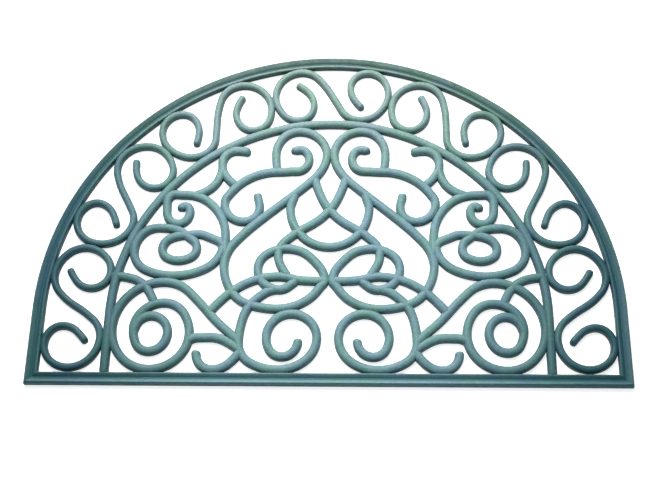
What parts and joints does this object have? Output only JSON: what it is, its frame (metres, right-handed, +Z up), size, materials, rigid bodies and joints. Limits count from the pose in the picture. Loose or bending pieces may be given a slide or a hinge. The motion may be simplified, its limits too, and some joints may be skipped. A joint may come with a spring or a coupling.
{
  "type": "door mat",
  "caption": "Half-round openwork door mat of moulded rubber, with a raised rim, an inner arch, a border of S scrolls and a heart of scrolled bars.",
  "frame": {"origin": "middle of the mat's outline, on the floor under it", "axes": "+Z up from the floor; +X along the straight edge, to the right as seen from it; +Y from the straight edge towards the round edge"},
  "size_m": [0.75, 0.4749, 0.01],
  "materials": {
    "moulded_rubber": "dark grey-green moulded rubber, satin, paler and slightly dusty on the crowns"
  },
  "bodies": {
    "root": {"rim_arch": "moulded_rubber", "bottom_rail": "moulded_rubber", "inner_arch": "moulded_rubber", "border_scrolls": "moulded_rubber", "heart_bars": "moulded_rubber", "heart_curls": "moulded_rubber", "u_bar": "moulded_rubber", "knot_bars": "moulded_rubber", "bow_bars": "moulded_rubber", "base_volutes": "moulded_rubber", "corner_spirals": "moulded_rubber", "spiral_links": "moulded_rubber", "leaf_bars": "moulded_rubber", "leaf_hooks": "moulded_rubber", "eye_scrolls": "moulded_rubber", "comma_scrolls": "moulded_rubber", "hook_bars": "moulded_rubber", "hook_links": "moulded_rubber"}
  },
  "joints": []
}
